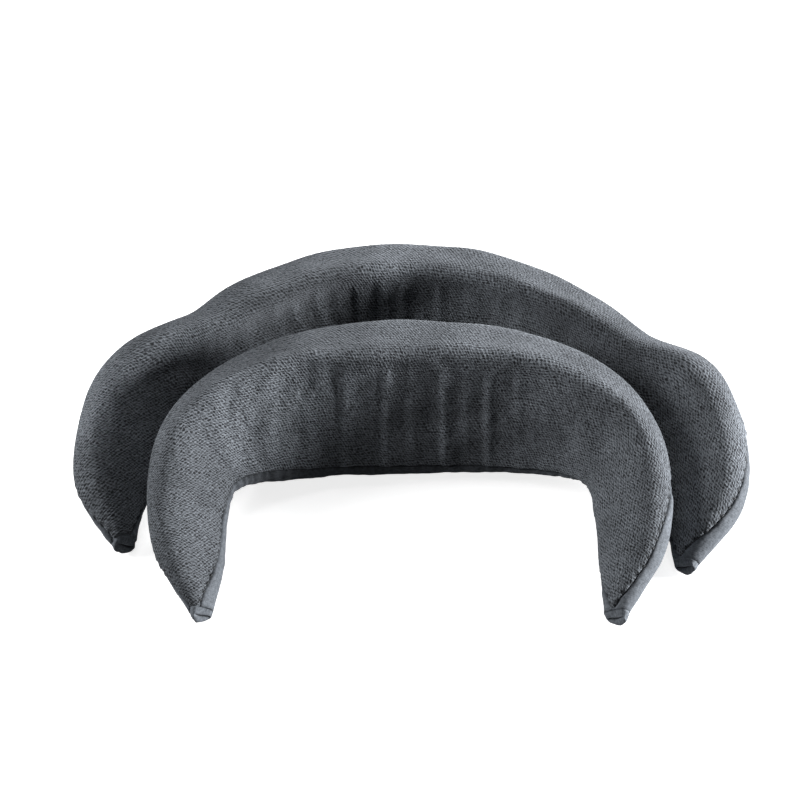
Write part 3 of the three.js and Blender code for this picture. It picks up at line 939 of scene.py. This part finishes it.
def make_stiffener(pad, material):
    """A thin plate with rounded edges behind the foam."""
    reach = pad.last - STIFFENER_END
    places = np.linspace(-reach, reach, 81)
    centre, _, upward, backward, width, depth, _ = pad.sections(places)
    turn = np.arange(28) / 28 * 2 * np.pi
    up = np.sign(np.sin(turn)) * np.abs(np.sin(turn)) ** STIFFENER_SQUARE
    back = np.sign(np.cos(turn)) * np.abs(np.cos(turn)) ** STIFFENER_SQUARE
    narrowing = 1 - 0.35 * smoothstep(reach - 0.4, reach, np.abs(places)) ** 2
    half = STIFFENER_SHARE * width / 2 * narrowing
    middle = depth / 2 - STIFFENER_TOP - STIFFENER_THICKNESS / 2
    at_back = middle[:, None] + back[None, :] * STIFFENER_THICKNESS / 2
    rings = centre[:, None] + (half[:, None] * up[None, :])[..., None] * upward[:, None]
    rings = rings + at_back[..., None] * backward[:, None]
    return add_piece(pad, "stiffener", closed_loft(rings), material, "stiffener")


def mouth_path(pad):
    """Places and rounds along the cover's mouth: the upper seam, one tip, the lower seam, the other tip."""
    reach = pad.last - ELASTIC_END
    there = np.linspace(-reach, reach, 360)
    tip = np.linspace(0, 1, 42)[1:-1]
    bulge = 0.25 * np.sin(np.pi * tip)
    upper, lower = pad.upper(there), pad.lower(there) - 1
    right = upper[-1] + (lower[-1] - upper[-1]) * tip
    left = lower[0] + (upper[0] - lower[0]) * tip
    places = np.concatenate([there, reach + bulge, there[::-1], -reach - bulge])
    return places, np.concatenate([upper, right, lower[::-1], left])


def make_elastic(pad, material):
    """The gathered, ribbed elastic inside the cover's mouth."""
    places, around = mouth_path(pad)
    line = pad.surface(places, around, -ELASTIC_TOP)
    outward = unit(pad.sample(pad.normals, places, around))
    along = unit(np.roll(line, -1, axis=0) - np.roll(line, 1, axis=0))
    across = unit(np.cross(outward, along))
    run = run_length(np.linalg.norm(np.diff(line, axis=0), axis=1))
    waves = round(run[-1] / GATHER_PITCH)
    gather = GATHER_HEIGHT * np.sin(2 * np.pi * waves * run / run[-1])
    wide = np.linspace(-1, 1, 13) * ELASTIC_HALF
    ribs = RIB_HEIGHT * np.cos(2 * np.pi * wide / ELASTIC_PITCH)
    profile = list(zip(wide, ribs)) + list(zip(wide[::-1], -ELASTIC_THICKNESS - ribs[::-1]))
    rings = np.stack([line + w * across + (r + gather)[:, None] * outward for w, r in profile], axis=1)
    shape = closed_loft(rings, shut=True)
    return add_piece(pad, "elastic", shape, material, "hem_elastic")


# --- Touch-fastener patches on the back ---

# Centres along the spine, in stations, as in the CAD.
LARGE_PATCHES = (("left", -2.1), ("centre", 0.0), ("right", 2.1))
SMALL_PATCHES = (("left", -1.05), ("centre", 0.0), ("right", 1.05))
PATCH_HALF_LENGTH = 0.4
PATCH_HALF_HEIGHT = 11.0
PATCH_CORNER = 4.0
PATCH_RISE = 0.85
PATCH_SUNK = 0.3
PATCH_PITCH = 0.4
HOOK_PITCH = 1.25
HOOK_HEIGHT = 0.3
BORDER_INSET = 1.6
BORDER_STITCH = 1.9
BORDER_PITCH = 2.7


def patch_half_height(x, half_length):
    """Half the height of a patch with round corners, at a distance from its middle."""
    into_corner = np.clip(np.abs(x) - (half_length - PATCH_CORNER), 0, PATCH_CORNER)
    return PATCH_HALF_HEIGHT - PATCH_CORNER + np.sqrt(PATCH_CORNER**2 - into_corner**2)


def patch_extent(pad, at):
    ends = np.interp([at - PATCH_HALF_LENGTH, at + PATCH_HALF_LENGTH], pad.rings, pad.back_length)
    return ends.mean(), (ends[1] - ends[0]) / 2


def make_patch(pad, name, at, material):
    """A patch of hooks with a plain sewn border."""
    middle, half_length = patch_extent(pad, at)
    x_columns = np.linspace(-half_length, half_length, int(2 * half_length / PATCH_PITCH))
    shares = np.linspace(-1, 1, int(2 * PATCH_HALF_HEIGHT / PATCH_PITCH))
    half = patch_half_height(x_columns, half_length)
    x = np.repeat(x_columns, len(shares))
    y = (half[:, None] * shares[None, :]).ravel()
    inset = np.minimum(half_length - np.abs(x), np.repeat(half, len(shares)) - np.abs(y))
    row = np.round(y / HOOK_PITCH)
    hook_x = np.cos(2 * np.pi * (x / HOOK_PITCH + 0.5 * np.mod(row, 2)))
    hook_y = np.cos(2 * np.pi * y / HOOK_PITCH)
    hooks = np.clip(0.5 * hook_x + 0.5 * hook_y, 0, 1)
    hooks *= smoothstep(BORDER_INSET + 0.5, BORDER_INSET + 1.1, inset)
    seam = np.exp(-(((inset - BORDER_INSET) / 0.4) ** 2))
    height = PATCH_RISE + HOOK_HEIGHT * hooks - 0.25 * seam - edge_depth(inset, 0.5, 0.4)
    place = pad.place_at_back(middle + x)
    around = y / pad.girth_at(place)
    outer = pad.surface(place, around, height)
    inner = pad.surface(place, around, -PATCH_SUNK)
    counts = [len(shares)] * len(x_columns)
    shape = two_sided(outer, counts, y, inner, counts, y)
    values = {"loop": np.concatenate([hooks, hooks * 0])}
    name = f"hook_patch_{name}"
    return add_piece(pad, name, shape, material, name, values=values)


def border_stitches(pad, at):
    """Stitches round a patch, a little inside its edge."""
    middle, half_length = patch_extent(pad, at)
    x = np.linspace(-half_length, half_length, 120) * (1 - BORDER_INSET / half_length)
    y = patch_half_height(x, half_length - BORDER_INSET) - BORDER_INSET
    loop = np.concatenate([np.column_stack([x, y]), np.column_stack([x, -y])[::-1]])
    loop = np.vstack([loop, loop[:1]])
    run = run_length(np.hypot(*np.diff(loop, axis=0).T))
    count = round(run[-1] / BORDER_PITCH)
    parts = []
    for number in range(count):
        steps = number * run[-1] / count + np.linspace(0, BORDER_STITCH, 7)
        along = np.interp(steps, run, loop[:, 0])
        up = np.interp(steps, run, loop[:, 1])
        place = pad.place_at_back(middle + along)
        parts.append(one_stitch(pad, place, up / pad.girth_at(place), PATCH_RISE - 0.3))
    return parts


def make_patches(pad, patches, hooks, thread):
    stitches = []
    for name, at in patches:
        make_patch(pad, name, at, hooks)
        stitches += border_stitches(pad, at)
    return add_piece(pad, "patch_stitches", joined(stitches), thread)


# --- Materials ---


class Shader:
    """A material and short calls that add nodes to it."""

    def __init__(self, name, roughness, sheen=0.0, specular=0.3):
        self.material = bpy.data.materials.new(name)
        self.material.use_nodes = True
        self.tree = self.material.node_tree
        self.tree.nodes.clear()
        self.surface = self.add("ShaderNodeBsdfPrincipled")
        self.add("ShaderNodeOutputMaterial", {0: self.surface.outputs[0]})
        self.place = self.add("ShaderNodeTexCoord").outputs["Object"]
        settings = {"Roughness": roughness, "Specular IOR Level": specular}
        if sheen:
            settings.update({"Sheen Weight": sheen, "Sheen Roughness": 0.5, "Sheen Tint": (0.75, 0.8, 0.88)})
        for key, value in settings.items():
            self.plug(value, self.surface.inputs[key])

    def add(self, kind, inputs=(), **settings):
        node = self.tree.nodes.new(kind)
        for key, value in settings.items():
            setattr(node, key, value)
        for key, value in dict(inputs).items():
            self.plug(value, node.inputs[key])
        return node

    def plug(self, value, socket):
        if isinstance(value, bpy.types.NodeSocket):
            self.tree.links.new(value, socket)
        else:
            socket.default_value = (*value, 1.0) if socket.type == "RGBA" else value

    def math(self, operation, *values):
        return self.add("ShaderNodeMath", enumerate(values), operation=operation).outputs[0]

    def ramp(self, value, low, high, to_low=0.0, to_high=1.0):
        inputs = {0: value, 1: low, 2: high, 3: to_low, 4: to_high}
        return self.add("ShaderNodeMapRange", inputs, interpolation_type="SMOOTHSTEP").outputs[0]

    def noise(self, scale, detail=2.0, roughness=0.5, vector=None):
        inputs = {"Vector": vector or self.place, "Scale": scale, "Detail": detail, "Roughness": roughness}
        return self.add("ShaderNodeTexNoise", inputs).outputs[0]

    def attribute(self, name):
        return self.add("ShaderNodeAttribute", attribute_name=name).outputs["Fac"]

    def knit(self):
        """Distances along and across the flat cloth."""
        uv = self.add("ShaderNodeUVMap", uv_map="knit").outputs[0]
        return uv, *self.add("ShaderNodeSeparateXYZ", {0: uv}).outputs[:2]

    def mottled(self, tone, noise, amount):
        """A tone with noise added round the noise's middle."""
        return self.math("MULTIPLY_ADD", self.math("SUBTRACT", noise, 0.5), amount, tone)

    def mix(self, factor, low, high):
        return self.add("ShaderNodeMix", {0: factor, 6: low, 7: high}, data_type="RGBA").outputs[2]

    def shaded(self, colour, level, depth):
        """A colour times a level, which the shade attribute lowers (+) or raises (-)."""
        level = self.math("MULTIPLY", level, self.math("MULTIPLY_ADD", self.attribute("shade"), -depth, 1.0))
        return self.add("ShaderNodeVectorMath", {0: colour, "Scale": level}, operation="SCALE").outputs[0]

    def finish(self, colour, height, distance, strength=0.6):
        """Sets the colour and the bump."""
        self.plug(colour, self.surface.inputs["Base Color"])
        bump = self.add("ShaderNodeBump", {"Height": height, "Distance": distance, "Strength": strength})
        self.plug(bump.outputs[0], self.surface.inputs["Normal"])
        return self.material


def terry_material():
    """Brickwork of loops with dark slanting gaps, as in loop_relief."""
    shader = Shader("terry_knit_fabric", roughness=0.95, sheen=0.25, specular=0.15)
    uv, cloth_x, cloth_y = shader.knit()
    warp = shader.mottled(0.0, shader.noise(0.7, 1.0, vector=uv), 0.9)
    up = shader.math("ADD", cloth_y, warp)
    row = shader.math("FLOOR", up)
    half = shader.math("MULTIPLY", shader.math("MODULO", row, 2.0), 0.5)
    along = shader.math("ADD", shader.math("ADD", cloth_x, warp), half)
    cell = shader.add("ShaderNodeCombineXYZ", {0: shader.math("FLOOR", along), 1: row})
    chance = shader.add("ShaderNodeTexWhiteNoise", {"Vector": cell.outputs[0]}, noise_dimensions="2D")
    off_p = shader.math("SUBTRACT", shader.math("FRACT", along), 0.5)
    off_q = shader.math("SUBTRACT", shader.math("FRACT", up), 0.5)
    off_q = shader.math("MULTIPLY_ADD", off_p, GAP_TILT, off_q)
    far_p = shader.math("POWER", shader.math("DIVIDE", off_p, GAP_LENGTH), 2.0)
    far_q = shader.math("POWER", shader.math("DIVIDE", off_q, GAP_WIDTH), 2.0)
    gap = shader.ramp(shader.math("ADD", far_p, far_q), 1.9, 0.1)
    gap = shader.math("MULTIPLY", gap, shader.math("MULTIPLY_ADD", chance.outputs["Value"], 0.6, 0.55))
    loop = shader.math("SUBTRACT", 1.0, gap)
    fibre = shader.noise(2600, 2.0, 0.6)
    stretched = shader.add("ShaderNodeCombineXYZ", {
        0: shader.math("MULTIPLY", cloth_x, 1.1),
        1: shader.math("MULTIPLY", shader.math("MULTIPLY_ADD", cloth_x, GAP_TILT, up), 2.4),
    })
    streak = shader.noise(1.0, 2.0, 0.6, vector=stretched.outputs[0])
    tone = shader.mottled(shader.math("MULTIPLY", loop, 0.58), fibre, 0.5)
    tone = shader.mottled(tone, streak, 1.8)
    colour = shader.mix(tone, (0.014, 0.0148, 0.0165), (0.212, 0.232, 0.258))
    patch = shader.ramp(shader.noise(42, 3.0, 0.55), 0.3, 0.7, 0.84, 1.16)
    broad = shader.ramp(shader.noise(11), 0.3, 0.7, 0.92, 1.08)
    height = shader.math("MULTIPLY_ADD", fibre, 0.5, loop)
    return shader.finish(shader.shaded(colour, shader.math("MULTIPLY", patch, broad), 0.7), height, 0.00025)


def smooth_material():
    """Fine vertical wales of slanting stitches."""
    shader = Shader("smooth_knit_fabric", roughness=0.85, sheen=0.2, specular=0.25)
    _, cloth_x, cloth_y = shader.knit()
    wale = shader.math("FRACT", shader.math("DIVIDE", cloth_x, 0.8))
    wale = shader.math("ABSOLUTE", shader.math("SUBTRACT", wale, 0.5))
    course = shader.math("ADD", shader.math("DIVIDE", cloth_y, 0.62), wale)
    course = shader.math("SINE", shader.math("MULTIPLY", course, 2 * math.pi))
    stitch = shader.math("MULTIPLY_ADD", course, 0.22, 0.78)
    knit = shader.math("MULTIPLY", shader.ramp(wale, 0.5, 0.2), stitch)
    tone = shader.mottled(shader.math("MULTIPLY_ADD", knit, 0.2, 0.4), shader.noise(3200, 2.0, 0.6), 0.6)
    tone = shader.mottled(tone, shader.noise(900, 2.0, 0.6), 1.7)
    colour = shader.mix(tone, (0.040, 0.045, 0.052), (0.150, 0.166, 0.188))
    level = shader.ramp(shader.noise(55, 3.0, 0.55), 0.3, 0.7, 0.92, 1.08)
    return shader.finish(shader.shaded(colour, level, 0.75), tone, 0.0001)


def thread_material():
    shader = Shader("sewing_thread_twist", roughness=0.6, specular=0.35)
    grain = shader.noise(1800, 2.0, 0.6)
    return shader.finish(shader.mix(grain, (0.012, 0.013, 0.015), (0.05, 0.055, 0.062)), grain, 0.0001)


def foam_material(name, dark, light, cells):
    shader = Shader(name, roughness=0.9, specular=0.2)
    pores = shader.add("ShaderNodeTexVoronoi", {"Vector": shader.place, "Scale": cells})
    depth = shader.ramp(pores.outputs["Distance"], 0.15, 0.6)
    tone = shader.math("MULTIPLY_ADD", shader.noise(30, 3.0), 0.4, shader.math("MULTIPLY", depth, -0.6))
    colour = shader.mix(shader.math("ADD", tone, 0.6), dark, light)
    return shader.finish(colour, shader.math("MULTIPLY", depth, -1.0), 0.0006, 0.8)


def woven_material(name, dark, light, pitch):
    shader = Shader(name, roughness=0.8)
    waves = shader.add("ShaderNodeTexWave", {"Vector": shader.place, "Scale": pitch, "Distortion": 2.0})
    tone = shader.math("MULTIPLY", waves.outputs["Fac"], 0.5)
    tone = shader.math("MULTIPLY_ADD", shader.noise(1500), 0.5, tone)
    return shader.finish(shader.mix(tone, dark, light), tone, 0.0003, 0.7)


def board_material():
    shader = Shader("stiffener_moulded_board", roughness=0.55, specular=0.45)
    grain = shader.noise(900, 3.0, 0.6)
    tone = shader.math("MULTIPLY_ADD", grain, 0.6, shader.math("MULTIPLY", shader.noise(14), 0.4))
    return shader.finish(shader.mix(tone, (0.012, 0.013, 0.014), (0.03, 0.032, 0.035)), grain, 0.0001, 0.5)


def hook_material():
    """Moulded hooks, a little paler than the woven ground between them."""
    shader = Shader("touch_fastener_hooks", roughness=0.5, specular=0.4)
    weave = shader.noise(1700, 2.0, 0.6)
    tone = shader.math("MULTIPLY_ADD", weave, 0.5, shader.math("MULTIPLY", shader.noise(60), 0.3))
    tone = shader.math("MULTIPLY_ADD", shader.attribute("loop"), 0.35, tone)
    return shader.finish(shader.mix(tone, (0.008, 0.009, 0.010), (0.042, 0.045, 0.050)), weave, 0.0002)


def floor_material():
    """A near-white floor to the camera that throws less light back on the pads."""
    shader = Shader("studio_floor", roughness=0.9, specular=0.1)
    pale = shader.mix(shader.noise(3.0), (0.84, 0.84, 0.84), (0.86, 0.86, 0.86))
    seen = shader.add("ShaderNodeLightPath").outputs["Is Camera Ray"]
    shader.plug(shader.mix(seen, (0.35, 0.35, 0.35), pale), shader.surface.inputs["Base Color"])
    shader.plug(shader.math("MULTIPLY", seen, 0.8), shader.surface.inputs["Emission Strength"])
    return shader.material


# --- Build ---

terry = terry_material()
smooth = smooth_material()
thread = thread_material()
webbing = woven_material("elastic_webbing_ribs", (0.012, 0.012, 0.014), (0.045, 0.048, 0.052), 900)
soft_foam = foam_material("comfort_foam_cells", (0.42, 0.39, 0.32), (0.72, 0.68, 0.58), 1400)
firm_foam = foam_material("core_foam_cells", (0.16, 0.17, 0.18), (0.34, 0.35, 0.37), 1900)
board = board_material()
fastener = hook_material()

large = Pad(
    "large", "rear_pad", LARGE_STATIONS, LARGE_PLACE, (LARGE_UPPER_SEAM, LARGE_LOWER_SEAM),
    (LARGE_UPPER_EDGE, LARGE_LOWER_EDGE, LARGE_CREASE, LARGE_HOLLOW), LARGE_FOLDS, LARGE_GRAIN, LARGE_PAINTED_SHADING,
    100,
)
small = Pad(
    "small", "front_pad", SMALL_STATIONS, SMALL_PLACE, (SMALL_UPPER_SEAM, SMALL_LOWER_SEAM),
    (SMALL_UPPER_EDGE, SMALL_LOWER_EDGE, SMALL_CREASE), SMALL_FOLDS, SMALL_GRAIN, SMALL_PAINTED_SHADING, 200,
)

for pad, patches in ((large, LARGE_PATCHES), (small, SMALL_PATCHES)):
    swell(pad)
    make_terry(pad, terry)
    make_panel(pad, smooth)
    make_stitches(pad, pad.upper, "seam_thread_upper", thread)
    make_stitches(pad, pad.lower, "seam_thread_lower", thread)
    for side in (-1, 1):
        make_tip(pad, side, smooth)
    foam_block(pad, "comfort_foam", comfort_cuts, soft_foam)
    foam_block(pad, "foam_core", core_cuts, firm_foam)
    make_stiffener(pad, board)
    make_elastic(pad, webbing)
    make_patches(pad, patches, fastener, thread)

# --- Camera, floor and light ---

# Where the camera looks, and from where it does.
AIM = Vector((-0.0048, 0.0166, 0.0307))
AZIMUTH = math.radians(1.0)
ELEVATION = math.radians(40.0)
DISTANCE = 1.2

back_from_aim = Vector((
    math.sin(AZIMUTH) * math.cos(ELEVATION),
    -math.cos(AZIMUTH) * math.cos(ELEVATION),
    math.sin(ELEVATION),
))
camera_data = bpy.data.cameras.new("camera")
camera_data.lens = 126
camera_data.sensor_width = 36
camera_data.clip_end = 20
camera = add_object("camera", camera_data)
camera.location = AIM + back_from_aim * DISTANCE
camera.rotation_euler = back_from_aim.to_track_quat("Z", "Y").to_euler()
bpy.context.scene.camera = camera

FLOOR_HALF = 6.0
floor_mesh = bpy.data.meshes.new("floor")
corners = [(x * FLOOR_HALF, y * FLOOR_HALF, 0) for x, y in ((-1, -1), (1, -1), (1, 1), (-1, 1))]
floor_mesh.from_pydata(corners, [], [(0, 1, 2, 3)])
floor_mesh.materials.append(floor_material())
floor = add_object("floor", floor_mesh)


LIGHT_AIM = (0, 0, 0.03)


def area_light(name, place, power, size):
    data = bpy.data.lights.new(name, "AREA")
    data.shape = "DISK"
    data.size = size
    data.energy = power
    light = add_object(name, data)
    light.location = place
    light.rotation_euler = (Vector(place) - Vector(LIGHT_AIM)).to_track_quat("Z", "Y").to_euler()


area_light("overhead", (0.0, 0.4, 1.3), 5, 0.8)
area_light("right", (1.36, 0.02, 0.30), 60, 0.4)
area_light("left", (-1.15, 0.0, 0.62), 16, 0.6)

world = bpy.data.worlds.new("studio")
world.use_nodes = True
world.node_tree.nodes["Background"].inputs["Color"].default_value = (1, 1, 1, 1)
world.node_tree.nodes["Background"].inputs["Strength"].default_value = 0.05
bpy.context.scene.world = world
bpy.context.scene.view_settings.view_transform = "Standard"
